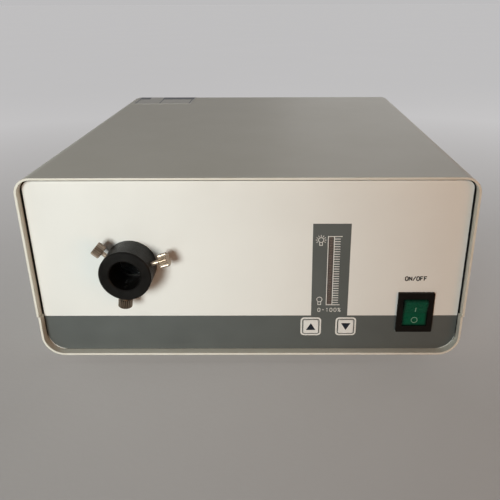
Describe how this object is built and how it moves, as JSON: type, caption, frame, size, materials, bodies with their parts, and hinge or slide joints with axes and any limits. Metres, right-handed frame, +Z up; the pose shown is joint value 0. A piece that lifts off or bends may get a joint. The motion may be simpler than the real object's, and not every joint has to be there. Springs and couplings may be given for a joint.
{
  "type": "xenon light source",
  "caption": "Bench lamp box with a clamping light guide port, a bar display with brightness keys, a green rocker switch, and a fan-cooled lamp inside.",
  "frame": {"origin": "under the middle of the whole object, on the plane of the bottoms of the feet", "axes": "+Z up, -Y out of the front panel along the light port, +X to the right seen from the front"},
  "size_m": [0.3, 0.3484, 0.1383],
  "materials": {
    "case_paint": "satin powder coat",
    "zinc_steel": "zinc plated",
    "foot_rubber": "matt moulded rubber",
    "blank_plate": "satin",
    "plate_aluminium": "mill finish",
    "overlay_film": "fine textured printed film",
    "black_anodised": "black anodised, fine turned",
    "nickel": "bright nickel plate",
    "nylon": "natural nylon",
    "lens_glass": "polished",
    "filter_glass": "coated",
    "black_plastic": "fine moulded texture",
    "rocker_green": "dark translucent green",
    "key_white": "satin",
    "display_red": "dark tinted diffuser",
    "lamp_ceramic": "fired alumina",
    "sink_aluminium": "extruded",
    "circuit_board": "solder mask",
    "winding_tape": "polyester tape",
    "capacitor_sleeve": "heat shrink sleeve",
    "contact_brass": "bright",
    "igniter_case": "potted moulding",
    "silicone_lead": "silicone insulation",
    "wire_insulation": "vinyl insulation"
  },
  "bodies": {
    "case": {"base_tray": "case_paint", "top_cover": "case_paint", "side_strips": "zinc_steel", "case_screws": "zinc_steel", "rubber_feet": "foot_rubber", "foot_screws": "zinc_steel", "foot_nuts": "zinc_steel", "m3_screws": "zinc_steel", "blank_label": "blank_plate", "front_plate": "plate_aluminium", "front_overlay": "overlay_film", "front_rail": "zinc_steel", "rear_panel": "case_paint", "rear_rail": "zinc_steel", "light_port": "black_anodised", "port_nut": "black_anodised", "condenser_lens": "lens_glass", "lens_ring": "black_anodised", "optics_bracket": "plate_aluminium", "heat_filter": "filter_glass", "filter_ring": "black_anodised", "attenuator_motor": "zinc_steel", "xenon_lamp": "lamp_ceramic", "lamp_window": "lens_glass", "front_heatsink": "sink_aluminium", "rear_heatsink": "sink_aluminium", "lamp_posts": "nylon", "igniter": "igniter_case", "igniter_leads": "silicone_lead", "psu_board": "circuit_board", "psu_transformer": "winding_tape", "psu_capacitors": "capacitor_sleeve", "psu_heatsink": "sink_aluminium", "psu_standoffs": "nylon", "control_board": "circuit_board", "board_standoffs": "nylon", "bar_display": "display_red", "tact_switches": "black_plastic", "switch_housing": "black_plastic", "switch_terminals": "contact_brass", "fan_frame": "black_plastic", "fan_screws": "zinc_steel", "mains_inlet": "black_plastic", "inlet_pins": "contact_brass", "earth_stud": "contact_brass", "inner_wires": "wire_insulation"},
    "rocker": {"rocker": "rocker_green"},
    "brighter_key": {"brighter_key": "key_white"},
    "dimmer_key": {"dimmer_key": "key_white"},
    "fan_rotor": {"fan_rotor": "black_plastic"},
    "attenuator": {"attenuator_wheel": "black_anodised", "attenuator_shaft": "zinc_steel"},
    "fuse_drawer": {"fuse_drawer": "black_plastic", "fuse": "lens_glass"},
    "clamp_tip_left": {"clamp_tip_left": "nylon"},
    "thumbscrew_left": {"thumbscrew_left": "nickel"},
    "clamp_tip_right": {"clamp_tip_right": "nylon"},
    "thumbscrew_right": {"thumbscrew_right": "nickel"},
    "clamp_tip_lower": {"clamp_tip_lower": "nylon"},
    "thumbscrew_lower": {"thumbscrew_lower": "nickel"}
  },
  "joints": [
    {"name": "rocker_tilt", "type": "hinge", "parent": "case", "child": "rocker", "pos_m": [0.1164, -0.15132, 0.0381], "axis": [-1, 0, 0], "range_deg": [0, 20]},
    {"name": "brighter_press", "type": "slide", "parent": "case", "child": "brighter_key", "axis": [0, 1, 0], "range_m": [0, 0.0006], "stiffness_N_per_m": 1500, "springref_m": -0.0004},
    {"name": "dimmer_press", "type": "slide", "parent": "case", "child": "dimmer_key", "axis": [0, 1, 0], "range_m": [0, 0.0006], "stiffness_N_per_m": 1500, "springref_m": -0.0004},
    {"name": "fan_spin", "type": "hinge", "parent": "case", "child": "fan_rotor", "pos_m": [-0.0809, 0.1542, 0.0755], "axis": [0, 1, 0], "continuous": true},
    {"name": "attenuator_turn", "type": "hinge", "parent": "case", "child": "attenuator", "pos_m": [-0.0529, -0.138, 0.0755], "axis": [0, -1, 0], "range_deg": [0, 300]},
    {"name": "fuse_drawer_slide", "type": "slide", "parent": "case", "child": "fuse_drawer", "axis": [0, 1, 0], "range_m": [0, 0.014]},
    {"name": "clamp_slide_left", "type": "slide", "parent": "case", "child": "clamp_tip_left", "axis": [-0.7547, 0, 0.6561], "range_m": [-0.0025, 0.004]},
    {"name": "thumbscrew_turn_left", "type": "hinge", "parent": "clamp_tip_left", "child": "thumbscrew_left", "pos_m": [-0.0809, -0.16567, 0.0755], "axis": [-0.7547, 0, 0.6561], "range_deg": [-1801, 2881]},
    {"name": "clamp_slide_right", "type": "slide", "parent": "case", "child": "clamp_tip_right", "axis": [0.9511, 0, 0.309], "range_m": [-0.0055, 0.0015]},
    {"name": "thumbscrew_turn_right", "type": "hinge", "parent": "clamp_tip_right", "child": "thumbscrew_right", "pos_m": [-0.0809, -0.16567, 0.0755], "axis": [0.9511, 0, 0.309], "range_deg": [-3961, 1081]},
    {"name": "clamp_slide_lower", "type": "slide", "parent": "case", "child": "clamp_tip_lower", "axis": [-0.1564, 0, -0.9877], "range_m": [-0.0025, 0.004]},
    {"name": "thumbscrew_turn_lower", "type": "hinge", "parent": "clamp_tip_lower", "child": "thumbscrew_lower", "pos_m": [-0.0809, -0.16567, 0.0755], "axis": [-0.1564, 0, -0.9877], "range_deg": [-1801, 2881]}
  ],
  "couplings": [
    {"joint": "thumbscrew_turn_left", "follows": "clamp_slide_left", "rad_per_m": 12566},
    {"joint": "thumbscrew_turn_right", "follows": "clamp_slide_right", "rad_per_m": 12566},
    {"joint": "thumbscrew_turn_lower", "follows": "clamp_slide_lower", "rad_per_m": 12566}
  ]
}
